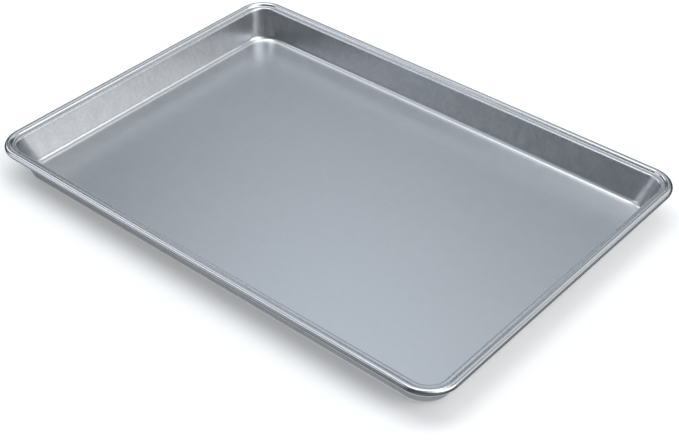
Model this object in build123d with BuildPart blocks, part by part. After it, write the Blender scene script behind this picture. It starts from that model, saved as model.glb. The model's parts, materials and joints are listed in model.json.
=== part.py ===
from build123d import *
import math
import os

os.makedirs("parts", exist_ok=True)

# Jelly roll pan: one pressed steel sheet with its edge curled over a wire.
# Frame: X along the long side, Y along the short side, Z up.
# Origin: centre of the underside, where the pan stands.

# ---------------------------------------------------------------- driving dimensions, mm
length = 431.8          # overall, over the curled rim, along X
width = 304.0           # overall, along Y
height = 29.6           # table to the top of the rim
sheet = 0.8             # thickness of the steel sheet

rim_radius = 2.95       # outside of the curl, in section
rim_corner = 24.0       # corner radius of the rim's outer edge, in plan
curl_end = 325.0        # degrees, where the curl stops, from the inner side over the top
ledge_drop = 2.2        # top of the rim to the top of the ledge
crease_radius = 0.8     # small hollow between ledge and curl

ledge_edge = 9.5        # rim's outer edge to where wall and ledge faces would meet
ledge_bend = 1.8        # rounding from ledge to wall, on the inside face
floor_edge = 15.2       # rim's outer edge to where wall and floor faces would meet
floor_corner = 18.8     # corner radius there, in plan
floor_bend = 5.0        # rounding from wall to floor, on the inside face

wire_play = 0.05        # clearance between wire and curl
wire_gap = 0.6          # gap between the wire's two butted ends

# ---------------------------------------------------------------- derived
ledge_top = height - ledge_drop
ledge_under = ledge_top - sheet
lean = math.atan((floor_edge - ledge_edge) / (ledge_top - sheet))  # wall from upright
skin = sheet / math.cos(lean)       # the sheet's thickness measured level
wire_radius = rim_radius - sheet - wire_play
rim_z = height - rim_radius         # height of the wire's centre
ledge_join = 7.6                    # where the rim section hands over to the tray
run_x = length / 2 - rim_corner     # half the straight part of a long side
run_y = width / 2 - rim_corner      # half the straight part of a short side


def outline(inset, corner):
    """A rounded rectangle, a given distance in from the rim's outer edge."""
    return RectangleRounded(length - 2 * inset, width - 2 * inset, corner)


def wall_inset(z):
    """Distance from the rim's outer edge to the wall's inside face at height z."""
    return floor_edge - (z - sheet) * math.tan(lean)


def corner_centre(z):
    """Distance from the rim's outer edge to the centre of the wall's corner at height z."""
    s = (z - sheet) / (ledge_top - sheet)
    return (floor_edge + floor_corner) * (1 - s) + rim_corner * s


def on_curl(radius, degrees):
    """A point of the rim's section: angle 0 is the inner side, 90 the top."""
    a = math.radians(degrees)
    return (rim_radius + radius * math.cos(a), rim_z + radius * math.sin(a))


def rim_section():
    """Curl and ledge, drawn with x inward from the rim's outer edge and y up."""
    inner = rim_radius - sheet
    up = ledge_top - rim_z
    down = ledge_under - rim_z
    # hollow between ledge and curl: a circle that touches both
    reach = rim_radius + crease_radius
    cx = math.sqrt(reach**2 - (up + crease_radius) ** 2)
    touch = math.degrees(math.atan2(up + crease_radius, cx))
    on_ledge = (rim_radius + cx, ledge_top)
    hollow_mid_angle = math.radians((180 + touch + 270) / 2)
    hollow_mid = (
        rim_radius + cx + crease_radius * math.cos(hollow_mid_angle),
        ledge_top + crease_radius + crease_radius * math.sin(hollow_mid_angle),
    )
    foot = math.degrees(math.asin(down / inner))
    with BuildLine() as edge:
        ThreePointArc(
            on_curl(rim_radius, touch),
            on_curl(rim_radius, (touch + curl_end) / 2),
            on_curl(rim_radius, curl_end),
        )
        Line(on_curl(rim_radius, curl_end), on_curl(inner, curl_end))
        ThreePointArc(
            on_curl(inner, curl_end),
            on_curl(inner, (curl_end + foot) / 2),
            on_curl(inner, foot),
        )
        Line(on_curl(inner, foot), (ledge_join, ledge_under))
        Line((ledge_join, ledge_under), (ledge_join, ledge_top))
        Line((ledge_join, ledge_top), on_ledge)
        ThreePointArc(on_ledge, hollow_mid, on_curl(rim_radius, touch))
    make_face(edge.edges())


corner_axis = Axis((run_x, -run_y, 0), (0, 0, 1))
long_side = Plane(origin=(0, -width / 2, 0), x_dir=(0, 1, 0), z_dir=(1, 0, 0))
long_end = Plane(origin=(run_x, -width / 2, 0), x_dir=(0, 1, 0), z_dir=(1, 0, 0))
short_end = Plane(origin=(length / 2, -run_y, 0), x_dir=(-1, 0, 0), z_dir=(0, 1, 0))

# ---------------------------------------------------------------- the space inside the tray
with BuildPart() as hollow:
    with BuildSketch(Plane.XY.offset(sheet)):
        outline(floor_edge, floor_corner)
    with BuildSketch(Plane.XY.offset(ledge_top)):
        outline(ledge_edge, rim_corner - ledge_edge)
    loft(ruled=True)
    fillet(hollow.faces().sort_by(Axis.Z)[0].edges(), floor_bend)

# ---------------------------------------------------------------- a quarter of the curled rim
with BuildPart() as rim_quarter:
    with BuildSketch(long_side):
        rim_section()
    extrude(amount=run_x)
    with BuildSketch(long_end):
        rim_section()
    revolve(axis=corner_axis, revolution_arc=90)
    with BuildSketch(short_end):
        rim_section()
    extrude(amount=run_y)

# ---------------------------------------------------------------- the pan
with BuildPart() as pan_body:
    with BuildSketch(Plane.XY):
        outline(wall_inset(0) - skin, corner_centre(0) - wall_inset(0) + skin)
    with BuildSketch(Plane.XY.offset(ledge_under)):
        outline(
            wall_inset(ledge_under) - skin,
            corner_centre(ledge_under) - wall_inset(ledge_under) + skin,
        )
    loft(ruled=True)
    fillet(pan_body.faces().sort_by(Axis.Z)[0].edges(), floor_bend + sheet)
    # ledge round the top of the walls
    with BuildSketch(Plane.XY.offset(ledge_under)):
        outline(ledge_join, rim_corner - ledge_join)
    extrude(amount=sheet)
    add(hollow.part, mode=Mode.SUBTRACT)
    # the sheet bends from wall to ledge with one thickness
    level = pan_body.faces().filter_by(Axis.Z)
    fillet(level.sort_by(Axis.Z)[-1].inner_wires()[0].edges(), ledge_bend)
    under = [
        f
        for f in pan_body.faces().filter_by(Axis.Z)
        if abs(f.center().Z - ledge_under) < 1e-3
    ][0]
    fillet(under.inner_wires()[0].edges(), ledge_bend - sheet)
    # curl, four quarters
    quarter = rim_quarter.part
    half = [quarter, quarter.mirror(Plane.YZ)]
    add(half + [q.mirror(Plane.XZ) for q in half])
pan_body.part.label = "pan_body"

# ---------------------------------------------------------------- wire inside the curl
mid = rim_radius            # the wire's centre line, in from the rim's outer edge
bend = rim_corner - mid
x1, y1 = length / 2 - mid, width / 2 - mid
with BuildPart() as rim_wire:
    with BuildLine(Plane.XY.offset(rim_z)) as loop:
        Line((wire_gap / 2, y1), (run_x, y1))
        RadiusArc((run_x, y1), (x1, run_y), bend)
        Line((x1, run_y), (x1, -run_y))
        RadiusArc((x1, -run_y), (run_x, -y1), bend)
        Line((run_x, -y1), (-run_x, -y1))
        RadiusArc((-run_x, -y1), (-x1, -run_y), bend)
        Line((-x1, -run_y), (-x1, run_y))
        RadiusArc((-x1, run_y), (-run_x, y1), bend)
        Line((-run_x, y1), (-wire_gap / 2, y1))
    with BuildSketch(
        Plane(origin=(wire_gap / 2, y1, rim_z), x_dir=(0, 1, 0), z_dir=(1, 0, 0))
    ):
        Circle(wire_radius)
    sweep(path=loop.wire())
rim_wire.part.label = "rim_wire"

# ---------------------------------------------------------------- checks and files
loop_length = 4 * run_x + 4 * run_y + 2 * math.pi * bend - wire_gap
print("wire volume / section x length:",
      rim_wire.part.volume / (math.pi * wire_radius**2 * loop_length))
print("wall leans", round(math.degrees(lean), 1), "degrees")
for piece in (pan_body, rim_wire):
    box = piece.part.bounding_box()
    print(piece.part.label, "solids", len(piece.part.solids()), "valid", piece.part.is_valid,
          "volume", round(piece.part.volume, 1), "size", box.size, "from", box.min)
    export_step(piece.part, f"parts/{piece.part.label}.step")
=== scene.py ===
import json
import math

import bmesh
import bpy
from mathutils import Matrix, Vector

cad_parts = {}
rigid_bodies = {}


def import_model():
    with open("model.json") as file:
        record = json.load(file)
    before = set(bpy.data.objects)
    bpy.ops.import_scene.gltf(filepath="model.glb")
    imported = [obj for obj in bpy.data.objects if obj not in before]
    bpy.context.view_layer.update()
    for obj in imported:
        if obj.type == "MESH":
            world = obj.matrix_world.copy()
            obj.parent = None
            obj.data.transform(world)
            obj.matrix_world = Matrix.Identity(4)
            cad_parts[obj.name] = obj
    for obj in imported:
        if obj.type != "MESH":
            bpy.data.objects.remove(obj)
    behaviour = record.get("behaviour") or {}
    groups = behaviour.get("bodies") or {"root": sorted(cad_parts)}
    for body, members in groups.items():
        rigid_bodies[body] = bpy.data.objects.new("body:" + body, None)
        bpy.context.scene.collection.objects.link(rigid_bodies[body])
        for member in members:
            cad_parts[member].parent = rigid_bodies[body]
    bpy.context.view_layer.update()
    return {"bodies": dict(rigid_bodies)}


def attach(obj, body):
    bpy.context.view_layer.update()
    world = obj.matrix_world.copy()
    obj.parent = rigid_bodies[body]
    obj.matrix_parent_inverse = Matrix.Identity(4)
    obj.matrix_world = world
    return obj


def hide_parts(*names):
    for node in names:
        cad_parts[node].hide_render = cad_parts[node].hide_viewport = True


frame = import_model()
body = next(iter(frame["bodies"]))

# ------------------------------------------------------------------ the pan's dimensions, mm
MM = 0.001
HX = 431.8 / 2          # half the overall length, over the curled rim
HY = 304.0 / 2          # half the overall width
HEIGHT = 29.6
SHEET = 0.8
RIM_R = 2.95            # outside of the curl, in section
RIM_CORNER = 24.0       # corner radius of the rim's outer edge, in plan
CURL_END = 325.0        # where the curl stops, from the inner side over the top
LEDGE_DROP = 2.2
CREASE_R = 0.8
LEDGE_EDGE = 9.5
LEDGE_BEND = 1.8
FLOOR_EDGE = 15.2
FLOOR_CORNER = 18.8
FLOOR_BEND = 5.0
WIRE_R = RIM_R - SHEET - 0.05
WIRE_GAP = 0.6

LEDGE_TOP = HEIGHT - LEDGE_DROP
LEDGE_UNDER = LEDGE_TOP - SHEET
LEAN = math.atan((FLOOR_EDGE - LEDGE_EDGE) / (LEDGE_TOP - SHEET))
RIM_Z = HEIGHT - RIM_R


# ------------------------------------------------------------------ mesh of the pressed sheet
def arc(cx, cz, r, a0, a1, n):
    """Points of an arc in the section, angles in degrees from inward (0) over the top (90)."""
    return [
        (
            cx + r * math.cos(math.radians(a0 + (a1 - a0) * i / n)),
            cz + r * math.sin(math.radians(a0 + (a1 - a0) * i / n)),
        )
        for i in range(n + 1)
    ]


def corner_centre(z):
    """Where the corner's centre lies, in from the rim's outer edge, at height z."""
    s = max(0.0, min(1.0, (LEDGE_TOP - z) / (LEDGE_TOP - SHEET)))
    return RIM_CORNER + (FLOOR_EDGE + FLOOR_CORNER - RIM_CORNER) * s


def section():
    """The sheet's section from the inside floor, up the wall, over the curl and back under
    the floor: (inset from the rim's outer edge, height) in mm."""
    lean = math.degrees(LEAN)
    half = math.radians((90 - lean) / 2)
    d = FLOOR_EDGE + FLOOR_BEND * math.tan(half)        # where the flat floor ends
    pts = arc(d, SHEET + FLOOR_BEND, FLOOR_BEND, 270, 180 + lean, 14)
    # wall, inside
    bx = LEDGE_EDGE - LEDGE_BEND * math.tan(half)       # where the flat ledge ends
    bend = arc(bx, LEDGE_TOP - LEDGE_BEND, LEDGE_BEND, lean, 90, 10)
    a, b = pts[-1], bend[0]
    n = 10
    pts += [(a[0] + (b[0] - a[0]) * i / n, a[1] + (b[1] - a[1]) * i / n) for i in range(1, n)]
    pts += bend
    # hollow between ledge and curl
    up = LEDGE_TOP - RIM_Z
    cx = math.sqrt((RIM_R + CREASE_R) ** 2 - (up + CREASE_R) ** 2)
    touch = math.degrees(math.atan2(up + CREASE_R, cx))
    pts += arc(RIM_R + cx, LEDGE_TOP + CREASE_R, CREASE_R, 270, 180 + touch, 6)
    # curl, outside, then its cut edge, then its inside
    pts += arc(RIM_R, RIM_Z, RIM_R, touch, CURL_END, 44)[1:]
    inner = RIM_R - SHEET
    a, b = pts[-1], arc(RIM_R, RIM_Z, inner, CURL_END, CURL_END, 1)[0]
    pts += [(a[0] + (b[0] - a[0]) * i / 3, a[1] + (b[1] - a[1]) * i / 3) for i in (1, 2)]
    foot = math.degrees(math.asin((LEDGE_UNDER - RIM_Z) / inner))
    pts += arc(RIM_R, RIM_Z, inner, CURL_END, foot, 30)
    # underside of the ledge, outside of the wall, outside of the floor's bend
    r = LEDGE_BEND - SHEET
    pts += arc(bx, LEDGE_TOP - LEDGE_BEND, r, 90, lean, 8)
    out = arc(d, SHEET + FLOOR_BEND, FLOOR_BEND + SHEET, 180 + lean, 270, 14)
    a, b = pts[-1], out[0]
    pts += [(a[0] + (b[0] - a[0]) * i / n, a[1] + (b[1] - a[1]) * i / n) for i in range(1, n)]
    pts += out
    clean = [pts[0]]
    for p in pts[1:]:
        if math.dist(p, clean[-1]) > 1e-4:
            clean.append(p)
    return clean, d


N_LONG, N_SHORT, N_CORNER = 56, 40, 24


def ring(inset, z, square=False):
    """One closed ring of points at an inset and height, corners rounded about their centre,
    or square with the corner's points shared out along the two sides."""
    centre = corner_centre(z)
    r = max(centre - inset, 0.0)
    cx, cy = HX - centre, HY - centre
    pts = []
    for q in range(4):
        sx, sy = ((1, 1), (-1, 1), (-1, -1), (1, -1))[q]
        for i in range(N_CORNER + 1):
            t = math.radians(90 * q + 90 * i / N_CORNER)
            if square:
                c, s = math.cos(t), math.sin(t)
                k = 1 / max(abs(c), abs(s))
                f = i / N_CORNER
                # even spacing along the L round the corner
                e = 2 * f if f <= 0.5 else 2 * (1 - f)
                if (q % 2 == 0) == (f <= 0.5):
                    p = (HX - inset, cy + (HY - inset - cy) * e)
                else:
                    p = (cx + (HX - inset - cx) * e, HY - inset)
                pts.append((sx * p[0], sy * p[1], z))
            else:
                pts.append((sx * cx + r * math.cos(t), sy * cy + r * math.sin(t), z))
        n = N_LONG if q % 2 == 0 else N_SHORT
        ex, ey = ((-1, 1), (-1, -1), (1, -1), (1, 1))[q]
        a = pts[-1]
        if square:
            b = (ex * (HX - inset), ey * cy, z) if q % 2 else (ex * cx, ey * (HY - inset), z)
        else:
            t = math.radians(90 * q + 90)
            b = (ex * cx + r * math.cos(t), ey * cy + r * math.sin(t), z)
        for i in range(1, n):
            pts.append(tuple(a[k] + (b[k] - a[k]) * i / n for k in range(3)))
    return pts


def floor_grid(bm, loop, flip):
    """Fills a square ring with an even grid of quads whose edge is that ring."""
    n = len(loop)
    m = N_CORNER // 2
    nx, ny = N_LONG + 2 * m, N_SHORT + 2 * m
    # corners of the ring, in order: (+,+), (-,+), (-,-), (+,-)
    c0 = m
    top = [loop[(c0 + i) % n] for i in range(nx + 1)]               # (+,+) to (-,+)
    left = [loop[(c0 + nx + i) % n] for i in range(ny + 1)]         # (-,+) to (-,-)
    bottom = [loop[(c0 + nx + ny + i) % n] for i in range(nx + 1)]  # (-,-) to (+,-)
    right = [loop[(c0 + 2 * nx + ny + i) % n] for i in range(ny + 1)]  # (+,-) to (+,+)
    rows = [top]
    for j in range(1, ny):
        a, b = right[ny - j], left[j]
        row = [a]
        for i in range(1, nx):
            x = top[i].co.x
            row.append(bm.verts.new((x, a.co.y + (b.co.y - a.co.y) * i / nx, a.co.z)))
        row.append(b)
        rows.append(row)
    rows.append(list(reversed(bottom)))
    for j in range(ny):
        for i in range(nx):
            q = [rows[j][i], rows[j][i + 1], rows[j + 1][i + 1], rows[j + 1][i]]
            bm.faces.new(q if flip else q[::-1])


def build_sheet():
    profile, flat = section()
    bm = bmesh.new()
    rows = []
    inside = [(flat + 9.0, SHEET, True), (flat + 4.0, SHEET, False)]
    outside = [(flat + 4.0, 0.0, False), (flat + 9.0, 0.0, True)]
    for u, z, sq in inside + [(u, z, False) for u, z in profile] + outside:
        rows.append([bm.verts.new([c * MM for c in p]) for p in ring(u, z, sq)])
    n = len(rows[0])
    for a, b in zip(rows, rows[1:]):
        for i in range(n):
            j = (i + 1) % n
            bm.faces.new((a[i], a[j], b[j], b[i]))
    floor_grid(bm, rows[0], True)
    floor_grid(bm, rows[-1], False)
    bmesh.ops.recalc_face_normals(bm, faces=bm.faces)
    mesh = bpy.data.meshes.new("pan_sheet")
    bm.to_mesh(mesh)
    bm.free()
    for p in mesh.polygons:
        p.use_smooth = True
    ob = bpy.data.objects.new("pan_sheet", mesh)
    bpy.context.scene.collection.objects.link(ob)
    return ob


pan = build_sheet()
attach(pan, body)
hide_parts("pan_body")


# ------------------------------------------------------------------ the wire in the curl
def build_wire():
    cx, cy = HX - RIM_CORNER, HY - RIM_CORNER
    bend = RIM_CORNER - RIM_R
    line = []                        # (point, outward direction)
    g = WIRE_GAP / 2
    top = HY - RIM_R

    def go(p, q, out, n):
        for i in range(n):
            f = i / n
            line.append(((p[0] + (q[0] - p[0]) * f, p[1] + (q[1] - p[1]) * f), out))

    def turn(sx, sy, a0):
        for i in range(20):
            t = math.radians(a0 - 90 * i / 20)
            o = (math.cos(t), math.sin(t))
            line.append(((sx * cx + bend * o[0], sy * cy + bend * o[1]), o))

    side = HX - RIM_R
    go((g, top), (cx, top), (0, 1), 30)
    turn(1, 1, 90)
    go((side, cy), (side, -cy), (1, 0), 40)
    turn(1, -1, 0)
    go((cx, -top), (-cx, -top), (0, -1), 60)
    turn(-1, -1, -90)
    go((-side, -cy), (-side, cy), (-1, 0), 40)
    turn(-1, 1, 180)
    go((-cx, top), (-g, top), (0, 1), 30)
    line.append(((-g, top), (0, 1)))
    bm = bmesh.new()
    k = 20
    chamfer = 0.25
    tangents = []
    rows = []

    def row(p, o, radius, shift=(0, 0)):
        return [
            bm.verts.new(
                (
                    (p[0] + shift[0] + o[0] * radius * math.cos(2 * math.pi * i / k)) * MM,
                    (p[1] + shift[1] + o[1] * radius * math.cos(2 * math.pi * i / k)) * MM,
                    (RIM_Z + radius * math.sin(2 * math.pi * i / k)) * MM,
                )
            )
            for i in range(k)
        ]

    rows.append(row(*line[0], WIRE_R - chamfer))
    rows.append(row(*line[0], WIRE_R, (chamfer, 0)))
    for p, o in line[1:-1]:
        rows.append(row(p, o, WIRE_R))
    rows.append(row(*line[-1], WIRE_R, (-chamfer, 0)))
    rows.append(row(*line[-1], WIRE_R - chamfer))
    for a, b in zip(rows, rows[1:]):
        for i in range(k):
            j = (i + 1) % k
            bm.faces.new((a[i], b[i], b[j], a[j]))
    bm.faces.new(rows[0])
    bm.faces.new(rows[-1][::-1])
    bmesh.ops.recalc_face_normals(bm, faces=bm.faces)
    mesh = bpy.data.meshes.new("stiffening_wire")
    bm.to_mesh(mesh)
    bm.free()
    for p in mesh.polygons:
        p.use_smooth = len(p.vertices) == 4
    ob = bpy.data.objects.new("stiffening_wire", mesh)
    bpy.context.scene.collection.objects.link(ob)
    return ob


wire = build_wire()
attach(wire, body)
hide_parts("rim_wire")


# ------------------------------------------------------------------ materials
def new_material(name):
    mat = bpy.data.materials.new(name)
    mat.use_nodes = True
    return mat, mat.node_tree.nodes["Principled BSDF"]


class Graph:
    """Short calls for wiring a material. A value given to an input is a number, a tuple or
    another node's output."""

    def __init__(self, mat):
        self.nodes, self.links = mat.node_tree.nodes, mat.node_tree.links

    def put(self, socket, value):
        if isinstance(value, bpy.types.NodeSocket):
            self.links.new(value, socket)
        else:
            socket.default_value = value

    def maths(self, op, *values, clamp=False):
        n = self.nodes.new("ShaderNodeMath")
        n.operation, n.use_clamp = op, clamp
        for i, v in enumerate(values):
            self.put(n.inputs[i], v)
        return n.outputs[0]

    def vector(self, x, y, z):
        n = self.nodes.new("ShaderNodeCombineXYZ")
        for i, v in enumerate((x, y, z)):
            self.put(n.inputs[i], v)
        return n.outputs[0]

    def split(self, v):
        n = self.nodes.new("ShaderNodeSeparateXYZ")
        self.put(n.inputs[0], v)
        return n.outputs

    def noise(self, where, scale, detail=2.0, rough=0.5):
        n = self.nodes.new("ShaderNodeTexNoise")
        self.put(n.inputs["Vector"], where)
        self.put(n.inputs["Scale"], scale)
        n.inputs["Detail"].default_value = detail
        n.inputs["Roughness"].default_value = rough
        return n.outputs["Fac"]

    def fade(self, v, a, b, lo=0.0, hi=1.0):
        """Smoothly from lo where v is a to hi where v is b."""
        n = self.nodes.new("ShaderNodeMapRange")
        n.interpolation_type = "SMOOTHSTEP"
        self.put(n.inputs["Value"], v)
        for name, x in (("From Min", a), ("From Max", b), ("To Min", lo), ("To Max", hi)):
            n.inputs[name].default_value = x
        return n.outputs["Result"]

    def total(self, base, *parts):
        """base plus each (value, weight), where a value runs 0 to 1 about its middle."""
        out = base
        for v, w in parts:
            out = self.maths("MULTIPLY_ADD", self.maths("SUBTRACT", v, 0.5), w, out)
        return out

    def blend(self, fac, a, b):
        n = self.nodes.new("ShaderNodeMix")
        n.data_type = "RGBA"
        self.put(n.inputs[0], fac)
        n.inputs[6].default_value = (*a, 1)
        n.inputs[7].default_value = (*b, 1)
        return n.outputs[2]

    def bump(self, height, distance, normal=None):
        n = self.nodes.new("ShaderNodeBump")
        n.inputs["Strength"].default_value = 1.0
        n.inputs["Distance"].default_value = distance
        self.put(n.inputs["Height"], height)
        if normal is not None:
            self.put(n.inputs["Normal"], normal)
        return n.outputs["Normal"]


def sheet_material():
    """Satin hot-dipped steel: a fine cloudy grain, faint lines from rolling along the pan's
    length, draw marks round the corners, and a rim rubbed a little smoother."""
    mat, bsdf = new_material("aluminised_steel_satin")
    g = Graph(mat)
    coords = mat.node_tree.nodes.new("ShaderNodeTexCoord").outputs["Object"]
    x, y, z = g.split(coords)
    ax, ay = g.maths("ABSOLUTE", x), g.maths("ABSOLUTE", y)
    # how much of the surface is long wall, corner, wall and rim
    long_wall = g.fade(ay, (HY - 26) * MM, (HY - 18) * MM)
    wall = g.fade(z, 1.5 * MM, 5.0 * MM)
    qx = g.maths("MAXIMUM", g.maths("SUBTRACT", ax, (HX - RIM_CORNER) * MM), 0.0)
    qy = g.maths("MAXIMUM", g.maths("SUBTRACT", ay, (HY - RIM_CORNER) * MM), 0.0)
    reach = g.maths("SQRT", g.maths("ADD", g.maths("MULTIPLY", qx, qx), g.maths("MULTIPLY", qy, qy)))
    curl = g.fade(reach, (RIM_CORNER - 6.8) * MM, (RIM_CORNER - 5.8) * MM)
    rim = g.maths("MAXIMUM", curl, g.fade(z, (LEDGE_TOP - 2.0) * MM, (LEDGE_TOP - 0.3) * MM, 0.0, 0.6))
    cx = g.maths("SUBTRACT", ax, (HX - 30.0) * MM)
    cy = g.maths("SUBTRACT", ay, (HY - 30.0) * MM)
    corner = g.fade(g.maths("MINIMUM", cx, cy), -4.0 * MM, 4.0 * MM)

    # grain of the coating
    fine = g.noise(coords, 700.0, 1.0, 0.5)
    grain = g.noise(coords, 300.0, 1.0, 0.5)
    mottle = g.noise(coords, 95.0, 2.0, 0.5)
    clouds = g.noise(coords, 16.0, 2.0, 0.5)
    # rolling lines run along X over floor and long walls, and up the short walls
    across = g.maths("ADD", ay, g.maths("MULTIPLY", z, long_wall))
    along = g.maths("MULTIPLY", x, 0.035)
    rolled = g.noise(g.vector(along, across, g.maths("SIGN", y)), 420.0, 2.0, 0.5)
    # draw marks: fine lines up the corner walls, spread about the corner's centre
    angle = g.maths("ARCTAN2", cy, cx)
    draw = g.noise(g.vector(angle, g.maths("MULTIPLY", z, 5.0), 0.0), 9.0, 3.0, 0.6)
    marked = g.maths("MULTIPLY", g.maths("MULTIPLY", corner, wall), draw)
    # where hands and racks have rubbed the rim
    rubbed = g.maths("MULTIPLY", rim, g.fade(g.noise(coords, 42.0, 3.0, 0.6), 0.35, 0.7))

    # the walls, stretched in the press, have an orange-peel skin that the floor hasn't
    stretched = g.maths("MULTIPLY", wall, g.maths("SUBTRACT", 1.0, rim))
    peel = g.noise(coords, 330.0, 2.0, 0.55)

    tone = g.total(0.5, (grain, 0.5), (mottle, 0.55), (clouds, 0.5), (rolled, 0.35))
    tone = g.maths("MULTIPLY_ADD", stretched, g.total(0.0, (peel, 4.0), (mottle, 2.6)), tone)
    g.put(bsdf.inputs["Base Color"], g.blend(tone, (0.578, 0.594, 0.614), (0.632, 0.646, 0.666)))
    # the floor and walls stay dull; rolling the rim over the wire has burnished it
    dull = g.maths("MAXIMUM", g.total(0.30, (fine, 0.02), (mottle, 0.035), (clouds, 0.02), (rolled, 0.02)), 0.28)
    bright = g.maths("MULTIPLY_ADD", rubbed, -0.03, g.total(0.24, (fine, 0.03), (mottle, 0.04)))
    rough = g.maths("MULTIPLY_ADD", rim, g.maths("SUBTRACT", bright, dull), dull)
    g.put(bsdf.inputs["Roughness"], rough)
    depth = g.maths("MULTIPLY_ADD", wall, 0.8, 0.2)
    height = g.total(0.0, (grain, 1.0), (mottle, 2.2), (rolled, 0.35))
    height = g.maths("MULTIPLY", height, depth)
    height = g.maths("MULTIPLY_ADD", stretched, g.total(0.0, (peel, 3.5), (mottle, 7.0)), height)
    height = g.maths("MULTIPLY_ADD", marked, 5.0, height)
    g.put(bsdf.inputs["Normal"], g.bump(height, 0.022 * MM))
    bsdf.inputs["Metallic"].default_value = 1.0
    return mat


def wire_material():
    """Bright drawn wire: long die lines and a little dullness."""
    mat, bsdf = new_material("drawn_steel_wire")
    g = Graph(mat)
    coords = mat.node_tree.nodes.new("ShaderNodeTexCoord").outputs["Object"]
    x, y, z = g.split(coords)
    # the long sides run along X, the short ones along Y
    side = g.fade(g.maths("ABSOLUTE", y), (HY - 24) * MM, (HY - 10) * MM)
    slow_x = g.maths("MULTIPLY", x, g.maths("MULTIPLY_ADD", side, -0.96, 1.0))
    slow_y = g.maths("MULTIPLY", y, g.maths("MULTIPLY_ADD", side, 0.96, 0.04))
    die = g.noise(g.vector(slow_x, slow_y, z), 2600.0, 3.0, 0.6)
    dull = g.noise(coords, 90.0, 3.0, 0.6)
    tone = g.total(0.5, (die, 0.6), (dull, 0.7))
    g.put(bsdf.inputs["Base Color"], g.blend(tone, (0.36, 0.36, 0.365), (0.45, 0.45, 0.455)))
    g.put(bsdf.inputs["Roughness"], g.total(0.36, (die, 0.08), (dull, 0.12)))
    g.put(bsdf.inputs["Normal"], g.bump(die, 0.006 * MM))
    bsdf.inputs["Metallic"].default_value = 1.0
    return mat


pan.data.materials.append(sheet_material())
wire.data.materials.append(wire_material())


# ------------------------------------------------------------------ floor and light
def stage_floor():
    bm = bmesh.new()
    bmesh.ops.create_grid(bm, x_segments=1, y_segments=1, size=6.0)
    mesh = bpy.data.meshes.new("stage_floor")
    bm.to_mesh(mesh)
    bm.free()
    ob = bpy.data.objects.new("stage_floor", mesh)
    bpy.context.scene.collection.objects.link(ob)
    ob.location = (0, 0, -0.0002)
    mat, bsdf = new_material("stage_white")
    bsdf.inputs["Base Color"].default_value = (0.92, 0.92, 0.92, 1)
    bsdf.inputs["Roughness"].default_value = 0.9
    bsdf.inputs["Specular IOR Level"].default_value = 0.0
    bsdf.inputs["Emission Color"].default_value = (1, 1, 1, 1)
    bsdf.inputs["Emission Strength"].default_value = 0.21
    mesh.materials.append(mat)
    ob.visible_glossy = False


def backdrop():
    """A plain white dome far round the floor, for the eye alone."""
    bm = bmesh.new()
    bmesh.ops.create_uvsphere(bm, u_segments=48, v_segments=24, radius=4.0)
    mesh = bpy.data.meshes.new("stage_backdrop")
    bm.to_mesh(mesh)
    bm.free()
    ob = bpy.data.objects.new("stage_backdrop", mesh)
    bpy.context.scene.collection.objects.link(ob)
    mat, bsdf = new_material("backdrop_white")
    bsdf.inputs["Base Color"].default_value = (0, 0, 0, 1)
    bsdf.inputs["Specular IOR Level"].default_value = 0.0
    bsdf.inputs["Emission Color"].default_value = (1, 1, 1, 1)
    bsdf.inputs["Emission Strength"].default_value = 1.05
    mesh.materials.append(mat)
    for kind in ("diffuse", "glossy", "transmission", "volume_scatter", "shadow"):
        setattr(ob, "visible_" + kind, False)


stage_floor()
backdrop()

# Soft round lights of the studio: azimuth from +X towards +Y, elevation, angle at which the
# light has fallen to half, and strength in red, green and blue.
LIGHTS = [
    # round the horizon and low in the sky
    (354.6, 37.9, 14.1, (1.88, 1.91, 1.92)),
    (17.5, 26.8, 14.0, (3.50, 3.47, 3.44)),
    (47.0, 16.0, 9.0, (0.92, 0.91, 0.88)),
    (70.0, 30.0, 9.0, (1.33, 1.39, 1.44)),
    (66.0, 42.0, 7.0, (0.60, 0.63, 0.65)),
    (96.0, 44.0, 9.0, (1.29, 1.36, 1.42)),
    (132.0, 44.0, 9.0, (1.08, 1.17, 1.28)),
    (129.1, 2.5, 14.0, (1.05, 1.10, 1.15)),
    (180.0, 30.0, 9.0, (1.88, 1.95, 2.03)),
    (186.0, 44.0, 9.0, (1.42, 1.47, 1.53)),
    (221.0, 16.0, 9.0, (0.80, 0.83, 0.91)),
    (228.0, 30.0, 9.0, (1.92, 2.01, 2.17)),
    (290.0, 34.0, 30.0, (0.11, 0.12, 0.13)),
    # overhead
    (181.4, 65.4, 14.0, (0.77, 0.80, 0.80)),
    (225.0, 70.0, 9.0, (3.44, 3.58, 3.74)),
    (348.7, 53.7, 14.0, (1.70, 1.73, 1.78)),
    (85.9, 79.3, 14.0, (2.93, 3.02, 3.13)),
    # below the horizon, for what the pale floor would mirror
    (46.0, -20.0, 12.0, (0.43, 0.45, 0.47)),
    (137.6, -31.0, 23.0, (0.35, 0.36, 0.37)),
    (138.3, -67.6, 26.7, (0.89, 0.92, 0.94)),
    (222.8, -12.0, 14.0, (1.27, 1.34, 1.40)),
    (290.0, -26.0, 24.0, (0.21, 0.22, 0.23)),
    (340.0, -24.0, 22.0, (0.24, 0.25, 0.26)),
]


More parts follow.
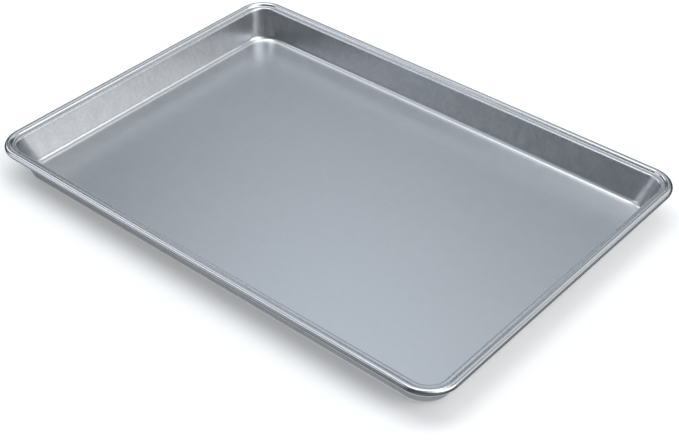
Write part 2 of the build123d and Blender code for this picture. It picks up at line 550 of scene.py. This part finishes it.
def studio():
    world = bpy.data.worlds.new("studio")
    bpy.context.scene.world = world
    world.use_nodes = True
    nodes, links = world.node_tree.nodes, world.node_tree.links
    background = nodes["Background"]
    coords = nodes.new("ShaderNodeTexCoord")
    total = None
    for az, el, half, strength in LIGHTS:
        a, e = math.radians(az), math.radians(el)
        k = math.log(2) / (1 - math.cos(math.radians(half)))
        dot = nodes.new("ShaderNodeVectorMath")
        dot.operation = "DOT_PRODUCT"
        dot.inputs[1].default_value = (k * math.cos(e) * math.cos(a), k * math.cos(e) * math.sin(a), k * math.sin(e))
        links.new(coords.outputs["Generated"], dot.inputs[0])
        fall = nodes.new("ShaderNodeMath")
        fall.operation = "SUBTRACT"
        fall.inputs[1].default_value = k
        links.new(dot.outputs["Value"], fall.inputs[0])
        power = nodes.new("ShaderNodeMath")
        power.operation = "EXPONENT"
        links.new(fall.outputs[0], power.inputs[0])
        add = nodes.new("ShaderNodeVectorMath")
        add.operation = "MULTIPLY_ADD"
        add.inputs[1].default_value = strength
        add.inputs[2].default_value = (0, 0, 0)
        links.new(power.outputs[0], add.inputs[0])
        if total is not None:
            links.new(total, add.inputs[2])
        total = add.outputs["Vector"]
    links.new(total, background.inputs["Color"])


studio()

scene = bpy.context.scene
scene.view_settings.view_transform = "Standard"
scene.view_settings.look = "None"


# ------------------------------------------------------------------ camera
def camera():
    azimuth, elevation, roll = 40.90, 38.06, -0.322
    target = Vector((27.76, -23.16, 0.0)) * MM
    distance = 1045.95 * MM
    a, e, r = map(math.radians, (azimuth, elevation, roll))
    back = Vector((math.sin(a) * math.cos(e), -math.cos(a) * math.cos(e), math.sin(e)))
    right = (-back).cross(Vector((0, 0, 1))).normalized()
    up = right.cross(-back)
    x = right * math.cos(r) + up * math.sin(r)
    y = -right * math.sin(r) + up * math.cos(r)
    data = bpy.data.cameras.new("camera")
    data.sensor_fit = "HORIZONTAL"
    data.sensor_width = 36.0
    data.lens = 1395.07 * 36.0 / 679
    data.clip_start, data.clip_end = 0.05, 50
    ob = bpy.data.objects.new("camera", data)
    bpy.context.scene.collection.objects.link(ob)
    rot = Matrix((x, y, back)).transposed().to_4x4()
    ob.matrix_world = Matrix.Translation(target + back * distance) @ rot
    bpy.context.scene.camera = ob


camera()
